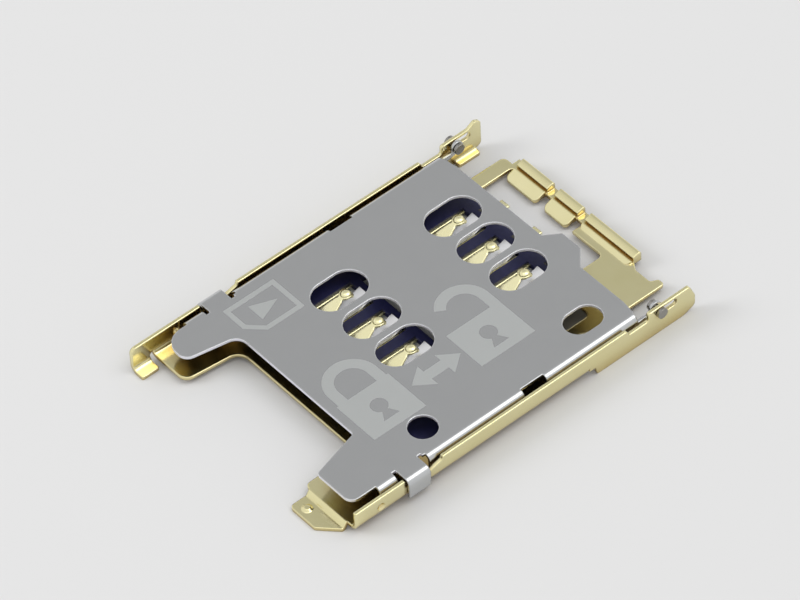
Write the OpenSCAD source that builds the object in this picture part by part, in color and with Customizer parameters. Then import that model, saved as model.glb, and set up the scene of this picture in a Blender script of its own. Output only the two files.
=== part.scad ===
// Card socket for a circuit board: a folded, gold-plated base frame with a moulded contact
// carrier and six spring contacts, under a stamped steel lid. The lid slides along the frame
// to lock, and swings up on two hinge pins that run in slots in the frame's ears.
//
// Plan positions in the sections below are measured from the middle of the contact pattern.
// X runs from the card's mouth to the hinge, Y across, and Z up from the board.

/* [Card and contacts] */
// Width of the card
card_w = 15; // [14:0.1:16]
// Thickness of the card
card_t = 0.76; // [0.6:0.02:0.9]
// Side play of the card between the lid's flanges, on each side
card_play = 0.06; // [0.04:0.01:0.1]
// Height left free above and below the card
card_room = 0.23; // [0.16:0.01:0.3]
// Distance from the rear contacts to the card's end
stop_reach = 5; // [4.8:0.05:5.4]
// Distance between neighbouring contacts in a row
contact_pitch = 2.54; // [2.4:0.02:2.6]
// Distance between the two rows of contacts
row_pitch = 7.62; // [7.4:0.02:7.8]
// Distance of the contact pattern from the card's centre line
pattern_offset = 1.36; // [1:0.02:1.6]

/* [Sheet metal] */
// Sheet thickness of the lid
cover_t = 0.16; // [0.12:0.01:0.2]
// Sheet thickness of the base frame
base_t = 0.2; // [0.16:0.01:0.24]
// Outer bend radius of the lid
cover_bend = 0.38; // [0.3:0.01:0.42]
// Outer bend radius of the base frame
base_bend = 0.5; // [0.4:0.02:0.56]
// Gap between sheets that slide past each other
sheet_gap = 0.04; // [0.03:0.01:0.06]
// Gap between the lid's flanges and the frame's walls
wall_gap = 0.14; // [0.1:0.01:0.16]
// Height of the frame's floor above the board
floor_lift = 0.3; // [0.2:0.02:0.4]
// Depth of the frame's walls below the lid's top
wall_drop = 0.04; // [0:0.01:0.08]

/* [Lid plan] */
// Reach of the two front lobes
lobe_reach = 12.6; // [12.2:0.05:12.9]
// Distance to the front edge between the lobes, the finger cut-out
cut_reach = 9.56; // [9.3:0.02:9.8]
// Left corner of the finger cut-out
cut_left = 3.6; // [3.2:0.05:3.8]
// Right corner of the finger cut-out
cut_right = 5.3; // [5:0.05:5.6]
// Outward lean of the cut-out's sides
cut_flare = 0.6; // [0.3:0.05:0.8]
// Distance to the lid's back edge
back_reach = 6.25; // [6:0.05:6.4]
// Length of the step that stands out of the back edge
step_out = 0.88; // [0.5:0.02:1]
// Length of a contact window along X
window_l = 3.27; // [3:0.02:3.6]
// Width of a contact window
window_w = 2.1; // [1.9:0.02:2.2]
// Diameter of the round hole, and width of the oval slot
hole_d = 1.6; // [1.2:0.05:1.8]
// Length of the oval slot
slot_l = 2.25; // [2:0.05:2.6]
// Distance of both from the bend of the lid's edge
hole_inset = 1.39; // [1.3:0.01:1.6]
// Distance of the round hole in front of the middle of the contact pattern
hole_reach = 6.72; // [6.4:0.02:7]
// Distance of the oval slot behind it
slot_reach = 3.94; // [3.6:0.02:4.2]
// Depth of the lid's side flanges, from the lid's top
flange_depth = 0.9; // [0.7:0.02:0.95]
// Front edge of the lock tabs, from the contact pattern
tab_front = 9.6; // [9.4:0.05:9.7]
// Length of a lock tab along X
tab_l = 1.4; // [1.2:0.05:1.5]
// Depth of the lock tabs, from the lid's top
tab_depth = 1.2; // [1.1:0.02:1.4]

/* [Slide and hinge] */
// Travel of the lid between locked and free
slide_travel = 0.9; // [0.6:0.05:1]
// Diameter of the hinge pins
pin_d = 0.4; // [0.36:0.02:0.46]
// Diameter of the pins' heads
pin_head_d = 0.62; // [0.56:0.02:0.7]
// Thickness of the pins' heads
pin_head_t = 0.18; // [0.12:0.02:0.22]
// Radial clearance of the pins
pin_gap = 0.03; // [0.02:0.01:0.05]
// Distance to the hinge axis in the locked position
hinge_reach = 7.3; // [7.2:0.05:7.4]
// Depth of the hinge axis below the lid's top
hinge_drop = 0.2; // [0.16:0.01:0.22]
// Diameter of the dimples in the frame's walls, in front of the lid's flanges
dimple_d = 0.5; // [0.4:0.02:0.6]
// Depth of those dimples
dimple_h = 0.22; // [0.2:0.01:0.24]

/* [Frame plan] */
// How far the frame's lobes stand out past the lid's
lobe_over = 0.3; // [0.2:0.02:0.4]
// Reach of the front feet
foot_reach = 14.2; // [13.8:0.05:14.4]
// Half width of the opening behind the contact carrier
opening_half = 3.9; // [3.8:0.02:4]
// Distance from the contact pattern to the contact carrier's left edge
carrier_left = 4.6; // [4.4:0.05:4.8]
// Distance from the contact pattern to the contact carrier's right edge
carrier_right = 7.4; // [7.2:0.05:7.5]
// Half width of the frame's floor behind the bent walls, from the card's centre line
tail_half = 6.13; // [6:0.02:6.3]
// Distance to the end of the bent walls
bend_end = 2.5; // [2:0.05:3]
// Distance to the rear end of the right hinge ear
ear_reach = 9.65; // [9.5:0.05:9.7]
// Height of the hinge ears above the board
ear_h = 1.8; // [1.78:0.01:1.9]
// Height of the horn behind the slot of the left hinge ear
horn_h = 0.3; // [0.2:0.02:0.4]
// Depth of the card stop behind the card's end, along X
stop_l = 0.89; // [0.8:0.01:1]
// Height of the card stop above the frame's floor
stop_h = 0.45; // [0.35:0.01:0.5]
// Height of the contact carrier's underside above the board
carrier_lift = 0.1; // [0.08:0.01:0.14]
// Depth of the contact carrier's top below the frame's floor
carrier_drop = 0.03; // [0:0.01:0.08]
// Sheet thickness of the contacts
contact_t = 0.1; // [0.08:0.01:0.12]
// Height of a free contact's crown above the board
crown_h = 1.15; // [1.05:0.01:1.2]

/* [Hidden] */
$fn = 48;
// Points on each rounded corner of an outline
arc_steps = 6;
// Overlap that carries a cut clear of a face
cut = 0.1;

// Heights above the board
floor_top = floor_lift + base_t;
cover_under = floor_top + card_t + card_room;
cover_top = cover_under + cover_t;
wall_top = cover_top - wall_drop;
hinge_z = cover_top - hinge_drop;
carrier_top = floor_top - carrier_drop;

// Half widths from the card's centre line, from the card outward
flange_in = card_w / 2 + card_play;
flange_out = flange_in + cover_t;
wall_in = flange_out + wall_gap;
wall_out = wall_in + base_t;
tab_in = wall_out + sheet_gap;
tab_out = tab_in + cover_t;
flat_half = flange_out - cover_bend;
tab_flat_half = tab_out - cover_bend;
floor_half = wall_out - base_bend;

// The card's centre line, and the left and right edges of the lid's and the floor's flats
mid_y = -pattern_offset;
lid_left = mid_y + flat_half;
lid_right = mid_y - flat_half;
floor_left = mid_y + floor_half;
floor_right = mid_y - floor_half;

// Rear row, card end and frame end
rear_row = row_pitch / 2;
card_end = rear_row + stop_reach;
frame_end = card_end + stop_l;
stop_lead = 0.5;
opening_end = card_end - stop_lead;

// Stretches of the lid's flanges along X, with reliefs beside the lock tabs
relief_w = 0.25;
relief_d = 0.15;
tab_back = tab_front - tab_l;
front_flange_l = 1.14;
front_flange = [-tab_front - relief_w - front_flange_l, -tab_front - relief_w];
mid_flange_lead = 0.42;
mid_flange_end = -1.5;
mid_flange = [-tab_back + mid_flange_lead, mid_flange_end];
rear_flange_front = 0;
rear_flange_gap = 0.18;
rear_flange = [rear_flange_front, back_reach - rear_flange_gap];

// Dimples in the frame's walls, which stop the lid's front flanges
dimple_x = front_flange[0] - sheet_gap - dimple_d / 2;
dimple_z = (floor_lift + wall_top) / 2;

// Notch in the frame's walls along X, for the lock tabs and their travel
notch_gap = 0.12;
notch = [-tab_front - notch_gap, -tab_back + slide_travel + notch_gap];
lobe_front = -lobe_reach - lobe_over;

// Hinge eye and ear
eye_wall = 0.18;
eye_r = pin_d / 2 + eye_wall;
eye_bore = pin_d / 2 + pin_gap;
ear_lead = 0.8;
ear_front = hinge_reach - ear_lead;
left_ear_cut = 0.5;
left_ear_reach = ear_reach - left_ear_cut;

// Contact, about its own middle: its stamped frame, the opening in it, and its solder tail
root_z = (carrier_lift + carrier_top) / 2;
root_x = [-2.2, 1.95];
root_half = 1.05;
bore_x = [-1.75, 1.6];
bore_half = 0.78;
tail_x = 3.55;
tail_half_w = 0.3;

// Contact carrier: its plan, and its fit in the frame's opening
carrier_fit = 0.02;
carrier_rim = 0.25;
carrier_apron = 1.5;
carrier_front = -rear_row + root_x[0] - carrier_apron;
carrier_back = rear_row + root_x[1] + carrier_rim;
carrier_wing = rear_row - 1.75;
slot_wing = slot_reach + 1.1;
slot_wing_y = carrier_right - 0.9;

// Card stop: its ends across the frame, the gaps between its spans, and its ridge
stop_inset = 0.2;
stop_left = opening_half - stop_inset;
stop_right = -opening_half - 1.4;
gap_left = 1.05;
gap_right = -1.3;
gap_half = 0.275;
ridge_l = 0.54;
ridge_front = frame_end - ridge_l;
groove = 0.1;
pocket_end = ridge_front - groove;
pocket_right = gap_right - gap_half;

// The frame's own origin: the middle of its footprint, on the board
origin = [(frame_end - foot_reach) / 2, mid_y, 0];

function unit(v) = v / norm(v);

// The points of one corner b between a and c, rounded to radius r
function corner(a, b, c, r) =
    r == 0 ? [b] :
    let (
        u = unit(a - b),
        v = unit(c - b),
        half = acos(u * v) / 2,
        centre = b + unit(u + v) * r / sin(half),
        p = b + u * r / tan(half) - centre,
        q = b + v * r / tan(half) - centre,
        start = atan2(p[1], p[0]),
        turn = atan2(p[0] * q[1] - p[1] * q[0], p * q)
    )
    [for (i = [0 : arc_steps])
        let (angle = start + turn * i / arc_steps)
        centre + r * [cos(angle), sin(angle)]];

// An outline of [x, y, corner radius] rows, with its corners rounded
function rounded(rows) =
    let (n = len(rows), p = [for (row = rows) [row[0], row[1]]])
    [for (i = [0 : n - 1])
        for (point = corner(p[(i + n - 1) % n], p[i], p[(i + 1) % n], rows[i][2]))
            point];

// The outline of a strip of thickness t along a bent line, with mitred bends
function side_of(line, i, d) =
    let (
        last = len(line) - 1,
        a = unit(line[min(i + 1, last)] - line[min(i, last - 1)]),
        b = unit(line[max(i, 1)] - line[max(i - 1, 0)]),
        n = unit([-a[1] - b[1], a[0] + b[0]])
    )
    line[i] + n * d / (n * [-a[1], a[0]]);

function strip(line, t) =
    let (last = len(line) - 1)
    concat(
        [for (i = [0 : last]) side_of(line, i, t / 2)],
        [for (i = [last : -1 : 0]) side_of(line, i, -t / 2)]);

// Moves plan positions to the frame's own origin
module in_frame() { translate(-origin) children(); }

// Repeats what is drawn at the left of the card's centre line at both sides
module both_sides() {
    translate([0, mid_y, 0]) {
        children();
        mirror([0, 1, 0]) children();
    }
}

// A flat sheet of thickness t, lying at height z
module flat_sheet(rows, z, t) {
    translate([0, 0, z]) linear_extrude(t) polygon(rounded(rows));
}

// An upright sheet of thickness t in the XZ plane, from y outward
module upright_sheet(rows, y, t) {
    translate([0, y + t, 0]) rotate([90, 0, 0]) linear_extrude(t) polygon(rounded(rows));
}

// A sheet's edge bent down from a flat that ends at y = 0, its top at z = 0
module bent_edge(stretch, r, t, depth) {
    length = stretch[1] - stretch[0];
    translate([stretch[0], 0, -r]) {
        intersection() {
            rotate([0, 90, 0]) difference() {
                cylinder(r = r, h = length);
                translate([0, 0, -cut]) cylinder(r = r - t, h = length + 2 * cut);
            }
            cube([length, r, r]);
        }
        translate([0, r - t, r - depth]) cube([length, t, depth - r]);
    }
}

// A slot with round ends, along X
module slot_2d(length, width) {
    run = (length - width) / 2;
    for (s = [-1, 1]) translate([s * run, 0]) circle(d = width);
    if (run > 0) square([2 * run, width], center = true);
}

// Lid: plan, bent flanges, lock tabs and hinge eyes
module cover_flat() {
    // Left end of the step in the back edge, its width and the run of its two slopes
    step_y = -1.55;
    step_w = 1.4;
    left_slope = 0.6;
    right_slope = 1;
    // Clipped corners beside the hinge arms
    corner_x = 0.12;
    corner_y = 0.9;
    small_r = 0.1;
    step_r = 0.15;
    rows = [
        [-cut_reach, cut_left, 0.7],
        [-lobe_reach, cut_left + cut_flare, 0.6],
        [-lobe_reach, lid_left, 1.1],
        [back_reach - corner_x, lid_left, small_r],
        [back_reach, lid_left - corner_y, small_r],
        [back_reach, step_y, small_r],
        [back_reach + step_out, step_y - left_slope, step_r],
        [back_reach + step_out, step_y - left_slope - step_w, step_r],
        [back_reach, step_y - left_slope - step_w - right_slope, small_r],
        [back_reach, lid_right + corner_y, small_r],
        [back_reach - corner_x, lid_right, small_r],
        [-lobe_reach, lid_right, 0.55],
        [-lobe_reach, -cut_right - cut_flare - 0.2, 0.3],
        [-cut_reach, -cut_right, 0.2]
    ];
    difference() {
        flat_sheet(rows, cover_under, cover_t);
        translate([0, 0, cover_under - cut]) linear_extrude(cover_t + 2 * cut) {
            for (x = [-rear_row, rear_row], i = [-1 : 1])
                translate([x, i * contact_pitch]) slot_2d(window_l, window_w);
            translate([-hole_reach, lid_right + hole_inset]) circle(d = hole_d);
            translate([slot_reach, lid_right + hole_inset]) slot_2d(slot_l, hole_d);
        }
        both_sides()
            for (x = [-tab_front - relief_w, -tab_back])
                translate([x, flat_half - relief_d, cover_under - cut])
                    cube([relief_w, relief_d + cut, cover_t + 2 * cut]);
    }
}

module hinge_arm() {
    arm_l = 0.8;
    arm_front = rear_flange[1] - arm_l;
    upright_sheet([
        [arm_front, cover_top - flange_depth, 0],
        [hinge_reach, hinge_z - eye_r, 0],
        [hinge_reach, cover_top - cover_bend, 0],
        [arm_front, cover_top - cover_bend, 0]
    ], flange_in, cover_t);
    translate([hinge_reach, flange_out, hinge_z]) rotate([90, 0, 0])
        cylinder(r = eye_r, h = cover_t);
}

module cover() {
    color("#9ea2a1") in_frame() {
        cover_flat();
        both_sides() {
            translate([0, flat_half, cover_top])
                for (stretch = [front_flange, mid_flange, rear_flange])
                    bent_edge(stretch, cover_bend, cover_t, flange_depth);
            translate([-tab_front, flat_half - relief_d, cover_under])
                cube([tab_l, tab_flat_half - flat_half + relief_d, cover_t]);
            translate([0, tab_flat_half, cover_top])
                bent_edge([-tab_front, -tab_back], cover_bend, cover_t, tab_depth);
            difference() {
                hinge_arm();
                translate([hinge_reach, flange_out + cut, hinge_z]) rotate([90, 0, 0])
                    cylinder(r = eye_bore, h = cover_t + 2 * cut);
            }
        }
    }
}

// Hinge pin: a shaft through eye and ear, with a head at each end
module hinge_pin() {
    inner = flange_in - pin_gap;
    outer = wall_out + pin_gap;
    translate([hinge_reach, 0, hinge_z]) rotate([-90, 0, 0]) {
        translate([0, 0, inner - pin_head_t]) cylinder(d = pin_head_d, h = pin_head_t);
        translate([0, 0, inner - cut]) cylinder(d = pin_d, h = outer - inner + 2 * cut);
        translate([0, 0, outer]) cylinder(d = pin_head_d, h = pin_head_t);
    }
}

module hinge_pin_left() {
    color("#5c5b58") in_frame() translate([0, mid_y, 0]) hinge_pin();
}

module hinge_pin_right() {
    color("#5c5b58") in_frame() translate([0, mid_y, 0]) mirror([0, 1, 0]) hinge_pin();
}

// Plan of the contact carrier, with its edges moved out by grow
function carrier_outline(grow, r) = [
    [carrier_front - grow, -carrier_right - grow, r],
    [carrier_wing + grow, -carrier_right - grow, r],
    [carrier_wing + grow, -slot_wing_y - grow, r],
    [slot_wing + grow, -slot_wing_y - grow, r],
    [slot_wing + grow, -opening_half - grow, r],
    [carrier_back + grow, -opening_half - grow, r],
    [carrier_back + grow, carrier_left + grow, r],
    [carrier_front - grow, carrier_left + grow, r]
];

// Base frame: floor, bent walls, ears, feet and card stop
module frame_floor() {
    corner_r = 0.3;
    cut_r = 0.7;
    lobe_r = 0.6;
    left_lean = 0.35;
    right_inset = 0.15;
    tail_back = frame_end - 0.5;
    recess = 0.33;
    recess_lead = 0.5;
    tip_out = 0.1;
    tip_w = 0.42;
    tail_right = mid_y - tail_half;
    rows = [
        [-cut_reach, cut_left, cut_r],
        [lobe_front, cut_left + left_lean, lobe_r],
        [lobe_front, floor_left, 0],
        [bend_end, floor_left, 0],
        [bend_end, mid_y + tail_half, corner_r],
        [tail_back, mid_y + tail_half, corner_r],
        [tail_back, stop_right, 0],
        [tail_back - recess, stop_right - recess_lead, corner_r],
        [tail_back - recess, tail_right + 1.5 * tip_w, corner_r / 2],
        [tail_back + tip_out, tail_right + tip_w, corner_r / 2],
        [tail_back + tip_out, tail_right, corner_r / 2],
        [bend_end, tail_right, corner_r],
        [bend_end, floor_right, 0],
        [lobe_front, floor_right, 0],
        [lobe_front, -cut_right - right_inset, corner_r],
        [-cut_reach, -cut_right - right_inset, corner_r]
    ];
    difference() {
        flat_sheet(rows, floor_lift, base_t);
        flat_sheet(carrier_outline(carrier_fit, corner_r), floor_lift - cut, base_t + 2 * cut);
        flat_sheet([
            [carrier_back - cut, -opening_half, 0],
            [opening_end, -opening_half, corner_r],
            [opening_end, pocket_right, 0],
            [pocket_end, pocket_right, 0],
            [pocket_end, opening_half, corner_r],
            [carrier_back - cut, opening_half, 0]
        ], floor_lift - cut, base_t + 2 * cut);
    }
}

// Bent wall, with a notch that lets the lock tab slide
module side_wall() {
    // Depths of the notch below the lid's underside, at its front and at the end of the travel
    front_depth = 0.34;
    back_depth = 0.1;
    corner_r = 0.1;
    difference() {
        translate([0, floor_half, floor_lift]) mirror([0, 0, 1])
            bent_edge([lobe_front, bend_end], base_bend, base_t, wall_top - floor_lift);
        upright_sheet([
            [notch[0], cover_under - front_depth, corner_r],
            [-tab_back, cover_under - front_depth, corner_r],
            [-tab_back + slide_travel, cover_under - back_depth, corner_r],
            [notch[1], wall_top + cut, 0],
            [notch[0], wall_top + cut, 0]
        ], wall_in - cut, base_t + 2 * cut);
    }
}

// Upright blade behind the bent wall, which ends in the hinge ear. The ear's rear end is as high
// as peak, and falls off by brow towards its edge.
module ear_blade(reach, peak, brow) {
    dip = hinge_z - 0.18;
    dip_front = hinge_reach - 2.2;
    foot_front = bend_end + 0.5;
    foot_lead = 0.1;
    heel_l = 0.8;
    brow_l = 0.35;
    horn_l = 0.5;
    bend_r = 0.15;
    difference() {
        upright_sheet([
            [bend_end, floor_top, 0],
            [foot_front - foot_lead, floor_top, 0],
            [foot_front, 0, foot_lead],
            [reach - heel_l, 0, base_bend],
            [reach, floor_lift, floor_lift],
            [reach, peak - brow, bend_r],
            [reach - brow_l, peak, bend_r],
            [reach - brow_l - horn_l, ear_h, 0],
            [ear_front, ear_h, bend_r],
            [ear_front, dip, bend_r],
            [dip_front, dip, bend_r],
            [dip_front, wall_top, bend_r],
            [bend_end, wall_top, 0]
        ], wall_in, base_t);
        translate([hinge_reach + slide_travel / 2, wall_out + cut, hinge_z])
            rotate([90, 0, 0]) linear_extrude(base_t + 2 * cut)
                slot_2d(slide_travel + 2 * eye_bore, 2 * eye_bore);
    }
}

// A foot turned in on the board from the left wall, along a stretch of X, with bend radius r
module turned_foot(stretch, width, r) {
    inner = mid_y + wall_in - width;
    outer = mid_y + wall_out - r;
    corner_r = 0.1;
    flat_sheet([
        [stretch[0], inner, corner_r],
        [stretch[1], inner, corner_r],
        [stretch[1], outer, 0],
        [stretch[0], outer, 0]
    ], 0, base_t);
    translate([0, outer, 0]) mirror([0, 0, 1]) bent_edge(stretch, r, base_t, r + cut);
}

// Front left foot: the wall runs on past the floor and turns in on the board
module front_left_foot() {
    foot_l = 1.1;
    foot_w = 0.75;
    foot_bend = 0.5;
    foot_back = -foot_reach + foot_l;
    corner_r = 0.3;
    translate([0, mid_y, 0]) upright_sheet([
        [-foot_reach, foot_bend, 0],
        [foot_back, foot_bend, 0],
        [lobe_front + cut, floor_lift + base_bend, 0],
        [lobe_front + cut, wall_top, 0],
        [-foot_reach, wall_top, corner_r]
    ], wall_in, base_t);
    turned_foot([-foot_reach, foot_back], foot_w, foot_bend);
}

// Front right foot: a tongue that steps down from the floor to the board
module front_right_foot() {
    root = lobe_front + 0.15;
    step_l = 0.2;
    tongue_left = -cut_right - 0.5;
    tongue_right = tongue_left - 1.9;
    slant_w = 1;
    slant_back = lobe_front - 0.35;
    corner_r = 0.25;
    // Raised pip on the tongue: its place from the tongue's left front corner, radius and height
    pip_x = 0.55;
    pip_y = 0.7;
    pip_r = 0.3;
    pip_h = 0.1;
    line = [
        [root, floor_lift + base_t / 2],
        [lobe_front, floor_lift + base_t / 2],
        [lobe_front - step_l, base_t / 2],
        [-foot_reach, base_t / 2]
    ];
    intersection() {
        translate([0, mid_y, 0]) rotate([90, 0, 0]) linear_extrude(floor_half)
            polygon(strip(line, base_t));
        flat_sheet([
            [root, tongue_left, 0],
            [-foot_reach, tongue_left, corner_r],
            [-foot_reach, tongue_right, corner_r],
            [slant_back, tongue_right - slant_w, cut],
            [root, tongue_right - slant_w, 0]
        ], -cut, floor_top + 2 * cut);
    }
    translate([-foot_reach + pip_x, tongue_left - pip_y, base_t])
        cylinder(r1 = pip_r, r2 = pip_r / 2, h = pip_h);
}

// Card stop: lead-in tongues in front of a slanted ridge, on a bar across the frame
module card_stop() {
    crest = floor_top + stop_h;
    ridge_fall = 0.18;
    ridge_r = 0.12;
    tongue_r = 0.3;
    tongue_rise = stop_h - ridge_fall - groove;
    long_lead = ridge_front - opening_end;
    long_drop = 0.14;
    short_lead = 0.45;
    mid_z = floor_lift + base_t / 2;
    // Left end, right end, and length and drop of the tongue of each span
    spans = [
        [stop_left, gap_left + gap_half, long_lead, long_drop],
        [gap_left - gap_half, gap_right + gap_half, long_lead, long_drop],
        [pocket_right, stop_right, short_lead, 0]
    ];
    translate([pocket_end, stop_right, floor_lift])
        cube([frame_end - pocket_end, stop_left + 2 * stop_inset - stop_right, base_t]);
    for (span = spans)
        intersection() {
            translate([0, span[0], 0]) rotate([90, 0, 0]) linear_extrude(span[0] - span[1]) {
                polygon(strip([
                    [ridge_front - span[2], mid_z - span[3]],
                    [pocket_end, mid_z + tongue_rise]
                ], base_t));
                translate([pocket_end - base_t, floor_lift]) square([base_t + cut, base_t]);
                polygon(rounded([
                    [ridge_front, floor_lift, 0],
                    [frame_end, floor_lift, 0],
                    [frame_end, crest, ridge_r],
                    [ridge_front, crest - ridge_fall, 0]
                ]));
            }
            flat_sheet([
                [ridge_front - span[2], span[1], tongue_r],
                [frame_end, span[1], 0],
                [frame_end, span[0], 0],
                [ridge_front - span[2], span[0], tongue_r]
            ], 0, crest + cut);
        }
}

// A dimple pressed in from the wall's outer face, or its bump on the inner face
module dimple(face) {
    lean = dimple_d * 2 / 3 / dimple_h;
    translate([dimple_x, face + pin_gap, dimple_z]) rotate([90, 0, 0])
        cylinder(d1 = dimple_d + lean * pin_gap, d2 = dimple_d / 3, h = dimple_h + pin_gap);
}

module base_frame() {
    left_brow = 0.2;
    right_brow = 0.8;
    rear_foot_inset = 0.4;
    rear_foot_w = 0.4;
    rear_foot_bend = 0.4;
    color("#c9bd86") in_frame() {
        frame_floor();
        both_sides() difference() {
            union() {
                side_wall();
                dimple(wall_in);
            }
            dimple(wall_out);
        }
        translate([0, mid_y, 0]) {
            ear_blade(left_ear_reach, ear_h + horn_h, left_brow);
            mirror([0, 1, 0]) ear_blade(ear_reach, ear_h, right_brow);
        }
        turned_foot([hinge_reach, left_ear_reach - rear_foot_inset], rear_foot_w, rear_foot_bend);
        front_left_foot();
        front_right_foot();
        card_stop();
    }
}

// Contact: a stamped frame held in the carrier, a solder tail behind it, and inside it an arm
// that rises from the front bar to a spoon-shaped crown
module contact_at(column, row) {
    corner_r = 0.15;
    crown_x = 0.3;
    crown_r = 0.55;
    rise = 24;
    fall = 38;
    tip_l = 0.1;
    tail_drop = 0.25;
    crown_mid = [crown_x, crown_h - contact_t / 2 - crown_r];
    crown = [for (i = [0 : arc_steps])
        let (angle = -rise + (rise + fall) * i / arc_steps)
        crown_mid + crown_r * [sin(angle), cos(angle)]];
    arm_foot = crown[0] - (crown[0][1] - root_z) * [1 / tan(rise), 1];
    arm_root = [bore_x[0] - corner_r, root_z];
    tip = crown[arc_steps] + tip_l * [cos(fall), -sin(fall)];
    tail_root = root_x[1] - corner_r;
    // Half widths along the arm, from its root to the tip of the spoon
    half = [
        [arm_root[0], 0.62, 0], [-1.3, 0.62, 0.3], [-0.1, 0.24, 0.1], [0.02, 0.14, 0.08],
        [0.2, 0.34, 0.15], [0.6, 0.36, 0.2], [tip[0] + cut, 0.12, 0]
    ];
    plan = concat(half, [for (i = [len(half) - 1 : -1 : 0]) [half[i][0], -half[i][1], half[i][2]]]);
    color("#d3c58a") in_frame() translate([column * rear_row, row * contact_pitch, 0]) {
        difference() {
            flat_sheet([
                [root_x[0], -root_half, corner_r], [root_x[1], -root_half, corner_r],
                [root_x[1], root_half, corner_r], [root_x[0], root_half, corner_r]
            ], root_z - contact_t / 2, contact_t);
            flat_sheet([
                [bore_x[0], -bore_half, corner_r], [bore_x[1], -bore_half, corner_r],
                [bore_x[1], bore_half, corner_r], [bore_x[0], bore_half, corner_r]
            ], root_z - contact_t / 2 - cut, contact_t + 2 * cut);
        }
        intersection() {
            translate([0, root_half, 0]) rotate([90, 0, 0]) linear_extrude(2 * root_half)
                polygon(strip(concat([arm_root, arm_foot], crown, [tip]), contact_t));
            flat_sheet(plan, 0, crown_h + cut);
        }
        translate([0, tail_half_w, 0]) rotate([90, 0, 0]) linear_extrude(2 * tail_half_w)
            polygon(strip([
                [tail_root, root_z],
                [root_x[1], root_z],
                [root_x[1] + tail_drop, contact_t / 2],
                [tail_x, contact_t / 2]
            ], contact_t));
    }
}

module contact_c1() { contact_at(1, 1); }
module contact_c2() { contact_at(1, 0); }
module contact_c3() { contact_at(1, -1); }
module contact_c5() { contact_at(-1, 1); }
module contact_c6() { contact_at(-1, 0); }
module contact_c7() { contact_at(-1, -1); }

// Moulded carrier: a plate with an open well around each contact and room for the solder tails
module contact_carrier() {
    corner_r = 0.3;
    lip = 0.4;
    well_half = 0.95;
    well_x = [bore_x[0], bore_x[1] - 0.15];
    tail_room = [-rear_row + root_x[1], rear_row + root_x[0] - carrier_rim];
    tail_room_half = contact_pitch + root_half - carrier_rim;
    color("#23242c") in_frame() difference() {
        union() {
            flat_sheet(carrier_outline(0, corner_r), carrier_lift, carrier_top - carrier_lift);
            flat_sheet(carrier_outline(lip, corner_r), carrier_lift, floor_lift - carrier_lift);
        }
        for (x = [-rear_row, rear_row], i = [-1 : 1])
            translate([x, i * contact_pitch, 0]) {
                translate([well_x[0], -well_half, 0])
                    cube([well_x[1] - well_x[0], 2 * well_half, cover_under]);
                translate([root_x[0], -root_half, root_z - contact_t / 2])
                    cube([root_x[1] - root_x[0], 2 * root_half, contact_t]);
                translate([root_x[1], -tail_half_w - carrier_fit, 0])
                    cube([carrier_rim + lip + cut, 2 * (tail_half_w + carrier_fit), cover_under]);
            }
        translate([tail_room[0], -tail_room_half, 0])
            cube([tail_room[1] - tail_room[0], 2 * tail_room_half, cover_under]);
    }
}

base_frame();
contact_carrier();
contact_c1();
contact_c2();
contact_c3();
contact_c5();
contact_c6();
contact_c7();
cover();
hinge_pin_left();
hinge_pin_right();
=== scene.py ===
import math

import bmesh
import bpy
from mathutils import Matrix, Vector


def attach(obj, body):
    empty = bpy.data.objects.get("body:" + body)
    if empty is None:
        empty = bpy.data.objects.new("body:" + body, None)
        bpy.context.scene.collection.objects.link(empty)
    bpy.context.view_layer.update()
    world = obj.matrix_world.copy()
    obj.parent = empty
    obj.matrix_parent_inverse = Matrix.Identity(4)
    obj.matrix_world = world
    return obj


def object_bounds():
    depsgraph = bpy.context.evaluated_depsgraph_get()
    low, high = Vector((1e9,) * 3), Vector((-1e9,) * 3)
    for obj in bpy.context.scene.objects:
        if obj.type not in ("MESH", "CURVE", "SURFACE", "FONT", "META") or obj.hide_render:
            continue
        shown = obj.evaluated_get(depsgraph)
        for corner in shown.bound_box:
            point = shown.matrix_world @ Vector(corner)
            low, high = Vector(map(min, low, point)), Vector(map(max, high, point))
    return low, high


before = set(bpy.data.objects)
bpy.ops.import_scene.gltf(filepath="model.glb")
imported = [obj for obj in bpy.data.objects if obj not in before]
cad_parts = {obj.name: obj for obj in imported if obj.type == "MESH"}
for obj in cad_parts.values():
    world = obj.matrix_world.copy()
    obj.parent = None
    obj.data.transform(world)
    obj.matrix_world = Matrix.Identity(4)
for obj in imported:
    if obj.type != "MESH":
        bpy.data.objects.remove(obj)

CAD_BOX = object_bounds()
MM = 0.001

# Places on the part, in millimetres: the lid's top, and the middle and pitches of the contacts
LID_TOP = 1.65
PATTERN_MID = Vector((2.25, 1.36, 0.0))
ROW_PITCH = 7.62
CONTACT_PITCH = 2.54

# Camera: a long lens that looks down on the part from its front right corner
CAMERA_TARGET = Vector((0.269, 1.317, LID_TOP)) * MM
CAMERA_AZIMUTH = math.radians(-38.31)
CAMERA_ELEVATION = math.radians(47.42)
CAMERA_ROLL = math.radians(-3.19)
CAMERA_DISTANCE = 317.0 * MM
CAMERA_LENS = 281.9
CAMERA_SENSOR = 36.0
CAMERA_NEAREST = 1.0 * MM
CAMERA_WAY = Vector((
    math.sin(CAMERA_AZIMUTH) * math.cos(CAMERA_ELEVATION),
    -math.cos(CAMERA_AZIMUTH) * math.cos(CAMERA_ELEVATION),
    math.sin(CAMERA_ELEVATION),
))

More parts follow.
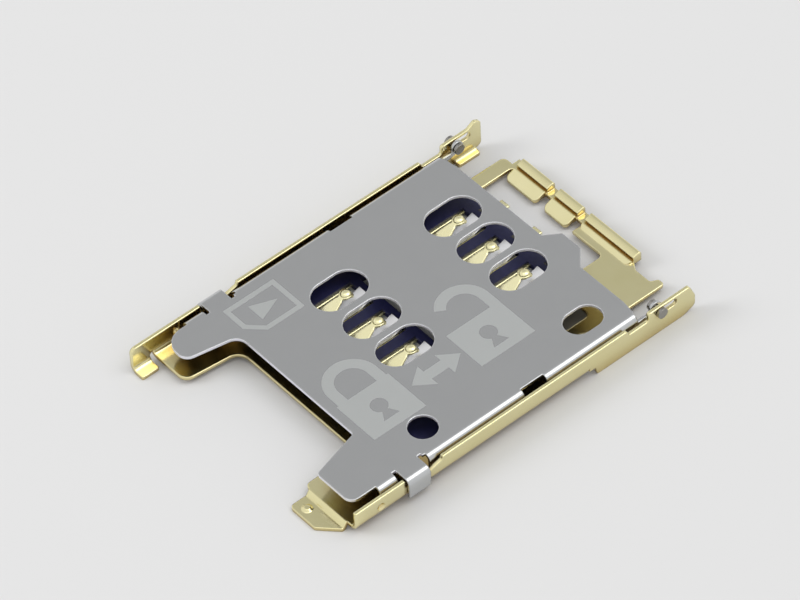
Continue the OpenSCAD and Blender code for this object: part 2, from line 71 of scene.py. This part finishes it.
# Surround: bright, with a dim patch where the lid mirrors it to the camera and a glow overhead. Each
# ramp gives a strength by the cosine of the angle to the middle of the patch or the glow.
PATCH_WAY = Vector((-CAMERA_WAY.x, -CAMERA_WAY.y, CAMERA_WAY.z))
PATCH_RAMP = [(0.0, 1.05), (0.87, 1.05), (0.94, 0.68), (1.0, 0.64)]
GLOW_WAY = Vector((0.0, 0.0, 1.0))
GLOW_RAMP = [(0.0, 0.0), (0.9, 0.0), (0.97, 0.45), (1.0, 0.45)]

# Lamps, in metres and watts: a soft one at the front left, kept out of reflections because it would
# turn the lid white from the other side, and a panel above the rear right
LAMP_DISTANCE = 0.7
LAMPS = {
    "soft_lamp": {"way": (-0.7, 0.5, 0.5), "size": 0.35, "power": 1.7, "mirrored": False},
    "top_panel": {"way": (0.42, -0.3, 0.85), "size": 0.45, "power": 0.9, "mirrored": True},
}

# Floor: half its side in metres, and its finish
FLOOR_HALF = 3.0
FLOOR_COLOUR = (0.68, 0.68, 0.68)
FLOOR_ROUGHNESS = 0.9
FLOOR_SPECULAR = 0.1

# Meshes of the nodes: how near corners are joined, and the angle above which an edge is sharp
JOIN_DISTANCE = 0.0005 * MM
EDGE_ANGLE = math.radians(32.0)

# Shading: samples for soft edges and recesses, and the detail and usual span of the noise
SHADE_SAMPLES = 8
NOISE_DETAIL = 3.0
NOISE_SPAN = (0.3, 0.7)

# Metals: the two tones of each, its range of roughness, the radius that its edges are softened to,
# and the fineness and depth of its grain, in millimetres and cycles per millimetre. All share the
# fineness of the mottling in their colour and gloss, and the scale of their grain along each axis.
METALS = {
    "gold_plate": {
        "tones": [(0.86, 0.795, 0.45), (0.89, 0.825, 0.49)],
        "roughness": (0.13, 0.20), "edge": 0.12, "grain": 2.0, "grain_depth": 0.0005,
    },
    "gold_contact": {
        "tones": [(0.95, 0.89, 0.53), (0.97, 0.92, 0.58)],
        "roughness": (0.22, 0.30), "edge": 0.14, "grain": 3.0, "grain_depth": 0.0003,
    },
    "satin_steel": {
        "tones": [(0.575, 0.585, 0.59), (0.585, 0.595, 0.60)],
        "roughness": (0.25, 0.27), "edge": 0.10, "grain": 8.0, "grain_depth": 0.00003,
    },
    "etched_steel": {
        "tones": [(0.54, 0.555, 0.55), (0.55, 0.565, 0.56)],
        "roughness": (0.58, 0.62), "edge": 0.01, "grain": 8.0, "grain_depth": 0.0001,
    },
    "pin_steel": {
        "tones": [(0.30, 0.29, 0.27), (0.36, 0.35, 0.33)],
        "roughness": (0.22, 0.32), "edge": 0.06, "grain": 6.0, "grain_depth": 0.0003,
    },
    "tinned_land": {
        "tones": [(0.84, 0.84, 0.85), (0.88, 0.88, 0.88)],
        "roughness": (0.28, 0.36), "edge": 0.02, "grain": 4.0, "grain_depth": 0.0003,
    },
}
METAL_MOTTLE = 0.6
METAL_GLOSS_MOTTLE = 1.7
METAL_GRAIN_STRETCH = (0.15, 1.0, 1.0)

# Plastic of the carrier, given as the metals are
PLASTIC = {
    "tones": [(0.011, 0.012, 0.055), (0.017, 0.018, 0.075)],
    "roughness": (0.42, 0.55), "edge": 0.04, "grain": 12.0, "grain_depth": 0.002,
}
PLASTIC_MOTTLE = 3.0
PLASTIC_GLOSS_MOTTLE = 5.0

# Painted shade on the carrier under the lid's oval slot, a dull brown-grey like a floor in shade: its
# middle, its reach, how softly it ends, and its tone
SLOT_SHADE_MID = Vector((6.6, -5.4, 0.47)) * MM
SLOT_SHADE_REACH = 1.7 * MM
SLOT_SHADE_SOFT = 0.5 * MM
SLOT_SHADE_TONE = (0.10, 0.092, 0.075)

# Painted shade in recesses of the gold, darker and browner where other faces are near: how near
# other faces are, the range of openness over which it darkens, and the tone of the shade
RECESS_SHADE_DEPTH = 1.8 * MM
RECESS_SHADE_OPENNESS = (0.3, 0.78)
RECESS_SHADE_TONE = (0.50, 0.35, 0.13)

# Sheared faces of the lid: half the width of the flat that they lie in, the rise of their normals,
# how softly both end, and their finish: matt as sheared metal is, with a painted highlight in its
# bright, lavender tone
LID_FLAT_HALF = 7.3 * MM
LID_FLAT_SOFT = 0.01 * MM
SHEARED_RISE = 0.5
SHEARED_RISE_SOFT = 0.2
SHEARED_HIGHLIGHT_TONE = (0.90, 0.90, 0.97)
SHEARED_ROUGHNESS = 0.62

# Tinned land under each contact's crown, in millimetres from the contact's middle on the board: its
# ends along X, its heights there, its sides along Y and its thickness
LAND_X = (0.0, 1.5)
LAND_Z = (0.05, 0.62)
LAND_Y = (-0.76, 0.28)
LAND_T = 0.05

# Dome on each contact's crown, from the same point: its middle, radii and segments
DOME_MID = Vector((0.38, 0.0, 1.11))
DOME_RADII = (0.31, 0.29, 0.16)
DOME_STEPS = 24

# Marks on the lid, in millimetres from the middle of the contact pattern and in degrees
MARK_T = 0.008
ARC_STEPS = 32
SHACKLE_OUT = 1.57
SHACKLE_IN = 0.95
KEYHOLE_R = 0.48
KEYHOLE_DROP = 1.0
KEYHOLE_FOOT = 0.5
KEYHOLE_NECK = 68.0
LOCKED = {"left": -9.05, "right": -5.67, "bottom": -6.34, "top": -3.42, "bow": (-7.36, -2.68)}
LOCKED_KEYHOLE = (-7.38, -4.73)
UNLOCKED = {"left": -1.89, "right": 1.66, "bottom": -6.25, "top": -3.5, "bow": (0.1, -2.65)}
UNLOCKED_SWEEP = 149.0
UNLOCKED_KEYHOLE = (-0.12, -4.72)
SLIDE = {"start": -5.34, "end": -2.11, "y": -4.86, "head": 1.05, "half": 0.79, "shaft": 0.32}
CARD = {"left": -9.11, "right": -5.79, "bottom": 2.93, "top": 5.43, "clip": 0.9, "stroke": 0.28}
POINTER = {"tip": -6.5, "back": -7.95, "y": 4.24, "half": 0.59}


def camera():
    """Puts the camera at the photograph's view."""
    level = Vector((math.cos(CAMERA_AZIMUTH), math.sin(CAMERA_AZIMUTH), 0.0))
    upright = CAMERA_WAY.cross(level)
    right = math.cos(CAMERA_ROLL) * level + math.sin(CAMERA_ROLL) * upright
    up = CAMERA_WAY.cross(right)
    data = bpy.data.cameras.new("camera")
    data.lens = CAMERA_LENS
    data.sensor_width = CAMERA_SENSOR
    data.clip_start = CAMERA_NEAREST
    eye = bpy.data.objects.new("camera", data)
    turn = Matrix((right, up, CAMERA_WAY)).transposed().to_4x4()
    eye.matrix_world = Matrix.Translation(CAMERA_TARGET + CAMERA_WAY * CAMERA_DISTANCE) @ turn
    bpy.context.scene.collection.objects.link(eye)
    bpy.context.scene.camera = eye


def by_angle(tree, direction, way, ramp):
    """A strength that follows a ramp by the cosine of the angle between a direction and a way."""
    facing = tree.nodes.new("ShaderNodeVectorMath")
    facing.operation = "DOT_PRODUCT"
    facing.inputs[1].default_value = way.normalized()
    node = tree.nodes.new("ShaderNodeFloatCurve")
    curve = node.mapping
    curve.use_clip = False
    points = curve.curves[0].points
    points[0].location = ramp[0]
    points[-1].location = ramp[-1]
    for cosine, strength in ramp[1:-1]:
        points.new(cosine, strength)
    for point in points:
        point.handle_type = "AUTO_CLAMPED"
    curve.update()
    tree.links.new(direction, facing.inputs[0])
    tree.links.new(facing.outputs["Value"], node.inputs["Value"])
    return node.outputs["Value"]


def surround():
    """A bright surround with a dim patch and a glow overhead."""
    world = bpy.data.worlds.new("surround")
    world.use_nodes = True
    tree = world.node_tree
    tree.nodes.clear()
    where = tree.nodes.new("ShaderNodeTexCoord")
    total = tree.nodes.new("ShaderNodeMath")
    total.operation = "ADD"
    shade = tree.nodes.new("ShaderNodeBackground")
    out = tree.nodes.new("ShaderNodeOutputWorld")
    patch = by_angle(tree, where.outputs["Generated"], PATCH_WAY, PATCH_RAMP)
    glow = by_angle(tree, where.outputs["Generated"], GLOW_WAY, GLOW_RAMP)
    tree.links.new(patch, total.inputs[0])
    tree.links.new(glow, total.inputs[1])
    tree.links.new(total.outputs["Value"], shade.inputs["Strength"])
    tree.links.new(shade.outputs["Background"], out.inputs["Surface"])
    bpy.context.scene.world = world


def lamp(name, way, size, power, mirrored):
    """A round soft lamp that faces the part from the given way, seen in reflections or not."""
    data = bpy.data.lights.new(name, "AREA")
    data.shape = "DISK"
    data.size = size
    data.energy = power
    light = bpy.data.objects.new(name, data)
    outward = Vector(way).normalized()
    light.location = outward * LAMP_DISTANCE
    light.rotation_euler = outward.to_track_quat("Z", "Y").to_euler()
    light.visible_glossy = mirrored
    bpy.context.scene.collection.objects.link(light)


def floor():
    """A plain pale floor at the part's lowest point."""
    mesh = bpy.data.meshes.new("floor")
    low = CAD_BOX[0].z
    corners = [(-1, -1), (1, -1), (1, 1), (-1, 1)]
    mesh.from_pydata([(x * FLOOR_HALF, y * FLOOR_HALF, low) for x, y in corners], [], [(0, 1, 2, 3)])
    plane = bpy.data.objects.new("floor", mesh)
    bpy.context.scene.collection.objects.link(plane)
    material, shader = new_material("floor_white")
    shader.inputs["Base Color"].default_value = (*FLOOR_COLOUR, 1.0)
    shader.inputs["Roughness"].default_value = FLOOR_ROUGHNESS
    shader.inputs["Specular IOR Level"].default_value = FLOOR_SPECULAR
    mesh.materials.append(material)


def new_material(name):
    """A new node material, and its shader."""
    material = bpy.data.materials.new(name)
    material.use_nodes = True
    return material, material.node_tree.nodes["Principled BSDF"]


def noise(material, scale, stretch=(1.0, 1.0, 1.0)):
    """Noise over the part's own coordinates, with scale in cycles per millimetre."""
    tree = material.node_tree
    where = tree.nodes.new("ShaderNodeTexCoord")
    mapping = tree.nodes.new("ShaderNodeMapping")
    mapping.inputs["Scale"].default_value = [s * scale / MM for s in stretch]
    texture = tree.nodes.new("ShaderNodeTexNoise")
    texture.inputs["Scale"].default_value = 1.0
    texture.inputs["Detail"].default_value = NOISE_DETAIL
    tree.links.new(where.outputs["Object"], mapping.inputs["Vector"])
    tree.links.new(mapping.outputs["Vector"], texture.inputs["Vector"])
    return texture.outputs["Fac"]


def spread(material, value, low, high, start=NOISE_SPAN[0], end=NOISE_SPAN[1]):
    """Maps values from start to end, by default the usual span of noise, to the range low to high."""
    tree = material.node_tree
    node = tree.nodes.new("ShaderNodeMapRange")
    node.inputs["From Min"].default_value = start
    node.inputs["From Max"].default_value = end
    node.inputs["To Min"].default_value = low
    node.inputs["To Max"].default_value = high
    tree.links.new(value, node.inputs["Value"])
    return node.outputs["Result"]


def two_tone(material, value, first, second):
    """Mixes two colours by noise."""
    tree = material.node_tree
    node = tree.nodes.new("ShaderNodeMix")
    node.data_type = "RGBA"
    node.inputs["A"].default_value = (*first, 1.0)
    node.inputs["B"].default_value = (*second, 1.0)
    tree.links.new(spread(material, value, 0.0, 1.0), node.inputs["Factor"])
    return node.outputs["Result"]


def relief(material, shader, edge, height, depth):
    """Softens edges to a radius and raises the surface by depth times height, in millimetres."""
    tree = material.node_tree
    soft = tree.nodes.new("ShaderNodeBevel")
    soft.samples = SHADE_SAMPLES
    soft.inputs["Radius"].default_value = edge * MM
    node = tree.nodes.new("ShaderNodeBump")
    node.inputs["Distance"].default_value = depth * MM
    tree.links.new(soft.outputs["Normal"], node.inputs["Normal"])
    tree.links.new(height, node.inputs["Height"])
    tree.links.new(node.outputs["Normal"], shader.inputs["Normal"])


def metal(name, tones, roughness, edge, grain, grain_depth):
    """A metal with slightly mottled colour and gloss, soft edges and a fine grain along X."""
    material, shader = new_material(name)
    links = material.node_tree.links
    colour = two_tone(material, noise(material, METAL_MOTTLE), *tones)
    gloss = spread(material, noise(material, METAL_GLOSS_MOTTLE), *roughness)
    shader.inputs["Metallic"].default_value = 1.0
    links.new(colour, shader.inputs["Base Color"])
    links.new(gloss, shader.inputs["Roughness"])
    relief(material, shader, edge, noise(material, grain, METAL_GRAIN_STRETCH), grain_depth)
    return material


def plastic(name, tones, roughness, edge, grain, grain_depth):
    """A moulded plastic with slightly mottled colour and gloss, soft edges and a fine grain."""
    material, shader = new_material(name)
    links = material.node_tree.links
    colour = two_tone(material, noise(material, PLASTIC_MOTTLE), *tones)
    gloss = spread(material, noise(material, PLASTIC_GLOSS_MOTTLE), *roughness)
    links.new(colour, shader.inputs["Base Color"])
    links.new(gloss, shader.inputs["Roughness"])
    relief(material, shader, edge, noise(material, grain), grain_depth)
    return material


def within(material, coordinate, axis, limit, soft):
    """1 where one axis of a coordinate stays within limit of zero, fading to 0 beyond it."""
    tree = material.node_tree
    where = tree.nodes.new("ShaderNodeTexCoord")
    parts = tree.nodes.new("ShaderNodeSeparateXYZ")
    size = tree.nodes.new("ShaderNodeMath")
    size.operation = "ABSOLUTE"
    tree.links.new(where.outputs[coordinate], parts.inputs["Vector"])
    tree.links.new(parts.outputs[axis], size.inputs[0])
    return spread(material, size.outputs["Value"], 1.0, 0.0, limit - soft, limit + soft)


def near(material, point, reach, soft):
    """1 within reach of a point of the part, fading to 0 beyond it."""
    tree = material.node_tree
    where = tree.nodes.new("ShaderNodeTexCoord")
    away = tree.nodes.new("ShaderNodeVectorMath")
    away.operation = "DISTANCE"
    away.inputs[1].default_value = point
    tree.links.new(where.outputs["Object"], away.inputs[0])
    return spread(material, away.outputs["Value"], 1.0, 0.0, reach - soft, reach + soft)


def mix_in(material, socket, mask, data_type, value):
    """Puts value in place of what a shader socket is fed with, where mask is 1."""
    tree = material.node_tree
    target = tree.nodes["Principled BSDF"].inputs[socket]
    node = tree.nodes.new("ShaderNodeMix")
    node.data_type = data_type
    node.inputs["B"].default_value = value
    tree.links.new(mask, node.inputs["Factor"])
    tree.links.new(target.links[0].from_socket, node.inputs["A"])
    tree.links.new(node.outputs["Result"], target)


def shear_and_highlight_edges(material):
    """Gives the cut faces of the lid's flat the matt finish of sheared metal, and a painted highlight:
    a bright, lavender tone.
    """
    tree = material.node_tree
    steep = within(material, "Normal", "Z", SHEARED_RISE, SHEARED_RISE_SOFT)
    inside = within(material, "Object", "Y", LID_FLAT_HALF, LID_FLAT_SOFT)
    mask = tree.nodes.new("ShaderNodeMath")
    mask.operation = "MULTIPLY"
    tree.links.new(steep, mask.inputs[0])
    tree.links.new(inside, mask.inputs[1])
    # Painted highlight: a bright, lavender tone on the cut faces
    mix_in(material, "Base Color", mask.outputs["Value"], "RGBA", (*SHEARED_HIGHLIGHT_TONE, 1.0))
    mix_in(material, "Roughness", mask.outputs["Value"], "FLOAT", SHEARED_ROUGHNESS)


def shade_recesses(material):
    """Paints shade in recesses, where other faces are near: a darker and browner tone."""
    tree = material.node_tree
    node = tree.nodes.new("ShaderNodeAmbientOcclusion")
    node.samples = SHADE_SAMPLES
    node.inputs["Distance"].default_value = RECESS_SHADE_DEPTH
    mask = spread(material, node.outputs["AO"], 1.0, 0.0, *RECESS_SHADE_OPENNESS)
    # Painted shade: a darker, browner tone where other faces are near
    mix_in(material, "Base Color", mask, "RGBA", (*RECESS_SHADE_TONE, 1.0))


def shade_carrier_under_slot(material):
    """Paints shade on the carrier under the lid's oval slot: a dull brown-grey place."""
    # Painted shade: a dull brown-grey tone near the slot
    mask = near(material, SLOT_SHADE_MID, SLOT_SHADE_REACH, SLOT_SHADE_SOFT)
    mix_in(material, "Base Color", mask, "RGBA", (*SLOT_SHADE_TONE, 1.0))


def node_group(name):
    """An empty geometry node group, with its input and output nodes."""
    group = bpy.data.node_groups.new(name, "GeometryNodeTree")
    group.interface.new_socket("Geometry", in_out="INPUT", socket_type="NodeSocketGeometry")
    group.interface.new_socket("Geometry", in_out="OUTPUT", socket_type="NodeSocketGeometry")
    return group, group.nodes.new("NodeGroupInput"), group.nodes.new("NodeGroupOutput")


def joined_faces():
    """Node group that joins coincident corners and drops the stored shading."""
    group, first, last = node_group("joined_faces")
    merge = group.nodes.new("GeometryNodeMergeByDistance")
    merge.inputs["Distance"].default_value = JOIN_DISTANCE
    group.links.new(first.outputs[0], merge.inputs["Geometry"])
    shape = merge.outputs["Geometry"]
    for name in ("custom_normal", "sharp_edge", "sharp_face"):
        drop = group.nodes.new("GeometryNodeRemoveAttribute")
        drop.inputs["Name"].default_value = name
        group.links.new(shape, drop.inputs["Geometry"])
        shape = drop.outputs["Geometry"]
    group.links.new(shape, last.inputs[0])
    return group


def smooth_by_angle():
    """Node group that shades smooth, apart from edges that are sharper than EDGE_ANGLE."""
    group, first, last = node_group("smooth_by_angle")
    faces = group.nodes.new("GeometryNodeSetShadeSmooth")
    faces.domain = "FACE"
    edges = group.nodes.new("GeometryNodeSetShadeSmooth")
    edges.domain = "EDGE"
    edges.inputs["Shade Smooth"].default_value = False
    angle = group.nodes.new("GeometryNodeInputMeshEdgeAngle")
    sharp = group.nodes.new("FunctionNodeCompare")
    sharp.operation = "GREATER_THAN"
    sharp.inputs["B"].default_value = EDGE_ANGLE
    group.links.new(first.outputs[0], faces.inputs["Geometry"])
    group.links.new(faces.outputs["Geometry"], edges.inputs["Geometry"])
    group.links.new(angle.outputs["Unsigned Angle"], sharp.inputs["A"])
    group.links.new(sharp.outputs["Result"], edges.inputs["Selection"])
    group.links.new(edges.outputs["Geometry"], last.inputs[0])
    return group


JOINED_FACES = joined_faces()
SMOOTH_BY_ANGLE = smooth_by_angle()


def dress(name, material):
    """Gives a CAD node its finish, and shades its round faces smooth by modifiers alone."""
    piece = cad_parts[name]
    piece.data.materials.clear()
    piece.data.materials.append(material)
    piece.modifiers.new("join", "NODES").node_group = JOINED_FACES
    piece.modifiers.new("smooth", "NODES").node_group = SMOOTH_BY_ANGLE


def new_piece(name, mesh, material):
    """A new piece in the scene, with a mesh in one material."""
    mesh.materials.clear()
    mesh.materials.append(material)
    piece = bpy.data.objects.new(name, mesh)
    bpy.context.scene.collection.objects.link(piece)
    return piece


def arc(mid, radius, start, end):
    """Points of an arc from one angle to another, in degrees."""
    angles = [math.radians(start + (end - start) * i / ARC_STEPS) for i in range(ARC_STEPS + 1)]
    return [(mid[0] + radius * math.cos(a), mid[1] + radius * math.sin(a)) for a in angles]


def keyhole(mid):
    """Loop of a keyhole: a circle with a foot that widens downward."""
    foot = mid[1] - KEYHOLE_DROP
    ring = arc(mid, KEYHOLE_R, -KEYHOLE_NECK, 180 + KEYHOLE_NECK)
    return ring + [(mid[0] - KEYHOLE_FOOT, foot), (mid[0] + KEYHOLE_FOOT, foot)]


def closed_lock(left, right, bottom, top, bow):
    """Loops of a closed padlock, whose bow is an arch centred at the given point."""
    outside = [(left, bottom), (right, bottom), (right, top), (bow[0] + SHACKLE_OUT, top)]
    outside += arc(bow, SHACKLE_OUT, 0, 180)
    outside += [(bow[0] - SHACKLE_OUT, top), (left, top)]
    inside = [(bow[0] + SHACKLE_IN, top)] + arc(bow, SHACKLE_IN, 0, 180) + [(bow[0] - SHACKLE_IN, top)]
    return [outside, inside]


def open_lock(left, right, bottom, top, bow, sweep):
    """Loops of an open padlock, whose bow ends in the air after the given sweep."""
    outside = [(left, bottom), (right, bottom), (right, top), (bow[0] + SHACKLE_OUT, top)]
    outside += arc(bow, SHACKLE_OUT, 0, sweep)
    outside += arc(bow, SHACKLE_IN, sweep, 0)
    outside += [(bow[0] + SHACKLE_IN, top), (left, top)]
    return [outside]


def double_arrow(start, end, y, head, half, shaft):
    """Loops of an arrow along X with a head at each end."""
    above = [(start, 0), (start + head, half), (start + head, shaft)]
    above += [(end - head, shaft), (end - head, half), (end, 0)]
    below = [(x, -rise) for x, rise in reversed(above[1:-1])]
    return [[(x, y + rise) for x, rise in above + below]]


def clipped_box(left, right, bottom, top, clip):
    """Loop of a rectangle with its lower left corner cut off."""
    return [(left + clip, bottom), (right, bottom), (right, top), (left, top), (left, bottom + clip)]


def card_outline(left, right, bottom, top, clip, stroke):
    """Loops of a card's outline, with its clipped corner."""
    inner_clip = clip - (2 - math.sqrt(2)) * stroke
    outside = clipped_box(left, right, bottom, top, clip)
    inside = clipped_box(left + stroke, right - stroke, bottom + stroke, top - stroke, inner_clip)
    return [outside, inside]


def pointer(tip, back, y, half):
    """Loop of an arrowhead along X."""
    return [(tip, y), (back, y + half), (back, y - half)]


def mark(name, loops, material):
    """A thin mark on the lid, filled between closed loops of plan points."""
    curve = bpy.data.curves.new(name, "CURVE")
    curve.dimensions = "2D"
    curve.fill_mode = "BOTH"
    curve.extrude = MARK_T
    for loop in loops:
        spline = curve.splines.new("POLY")
        spline.points.add(len(loop) - 1)
        spline.use_cyclic_u = True
        for point, (x, y) in zip(spline.points, loop):
            point.co = (x, y, 0.0, 1.0)
    drawn = bpy.data.objects.new(name, curve)
    mesh = bpy.data.meshes.new_from_object(drawn)
    bpy.data.objects.remove(drawn)
    place = PATTERN_MID + Vector((0.0, 0.0, LID_TOP))
    mesh.transform(Matrix.Scale(MM, 4) @ Matrix.Translation(place))
    piece = new_piece(name, mesh, material)
    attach(piece, "lid")


def contact_mid(row, column):
    """Where a contact has its middle, on the board, in millimetres."""
    return PATTERN_MID + Vector((row * ROW_PITCH / 2, column * CONTACT_PITCH, 0.0))


def land(name, mid, material):
    """A tinned land that slopes up under a contact's crown."""
    points = []
    for drop in (LAND_T, 0.0):
        for x, z in zip(LAND_X, LAND_Z):
            points.append((x, LAND_Y[0], z - drop))
            points.append((x, LAND_Y[1], z - drop))
    # Top, bottom, right, left, front and rear, by the order of the points
    faces = [(4, 6, 7, 5), (0, 1, 3, 2), (0, 2, 6, 4), (1, 5, 7, 3), (0, 4, 5, 1), (2, 3, 7, 6)]
    mesh = bpy.data.meshes.new(name)
    mesh.from_pydata([(mid + Vector(p)) * MM for p in points], [], faces)
    piece = new_piece(name, mesh, material)
    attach(piece, "base")


def dome(name, mid, material):
    """A round dome on a contact's crown."""
    mesh = bpy.data.meshes.new(name)
    ball = bmesh.new()
    size = Matrix.Diagonal((*DOME_RADII, 1.0))
    place = Matrix.Scale(MM, 4) @ Matrix.Translation(mid + DOME_MID) @ size
    bmesh.ops.create_uvsphere(
        ball, u_segments=DOME_STEPS, v_segments=DOME_STEPS // 2, radius=1.0, matrix=place)
    ball.to_mesh(mesh)
    ball.free()
    mesh.shade_smooth()
    piece = new_piece(name, mesh, material)
    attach(piece, "base")


# Materials
metals = {name: metal(name, **setting) for name, setting in METALS.items()}
# Painted shade in the recesses of the gold plate
shade_recesses(metals["gold_plate"])
# Matt finish and a painted highlight on the cut faces of the lid
shear_and_highlight_edges(metals["satin_steel"])
carrier_plastic = plastic("carrier_plastic", **PLASTIC)
# Painted shade on the carrier under the lid's oval slot
shade_carrier_under_slot(carrier_plastic)

# Finishes of the nodes, where all that aren't named are contacts
finishes = {
    "cover": metals["satin_steel"],
    "base_frame": metals["gold_plate"],
    "contact_carrier": carrier_plastic,
    "hinge_pin_left": metals["pin_steel"],
    "hinge_pin_right": metals["pin_steel"],
}
for node_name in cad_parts:
    dress(node_name, finishes.get(node_name, metals["gold_contact"]))

# Marks on the lid
etched = metals["etched_steel"]
locked = closed_lock(**LOCKED)
unlocked = open_lock(**UNLOCKED, sweep=UNLOCKED_SWEEP)
mark("mark_locked", locked + [keyhole(LOCKED_KEYHOLE)], etched)
mark("mark_unlocked", unlocked + [keyhole(UNLOCKED_KEYHOLE)], etched)
mark("mark_slide", double_arrow(**SLIDE), etched)
mark("mark_card", card_outline(**CARD) + [pointer(**POINTER)], etched)

# Lands and domes, numbered as a card's contacts are: 1 to 3 in the rear row, 5 to 7 in the front one
for row, first_number in ((-1, 5), (1, 1)):
    for column in (-1, 0, 1):
        number = first_number + 1 - column
        land(f"land_{number}", contact_mid(row, column), metals["tinned_land"])
        dome(f"dome_{number}", contact_mid(row, column), metals["gold_contact"])

# Studio
camera()
surround()
for lamp_name, setting in LAMPS.items():
    lamp(lamp_name, **setting)
floor()
scene = bpy.context.scene
scene.view_settings.view_transform = "Standard"
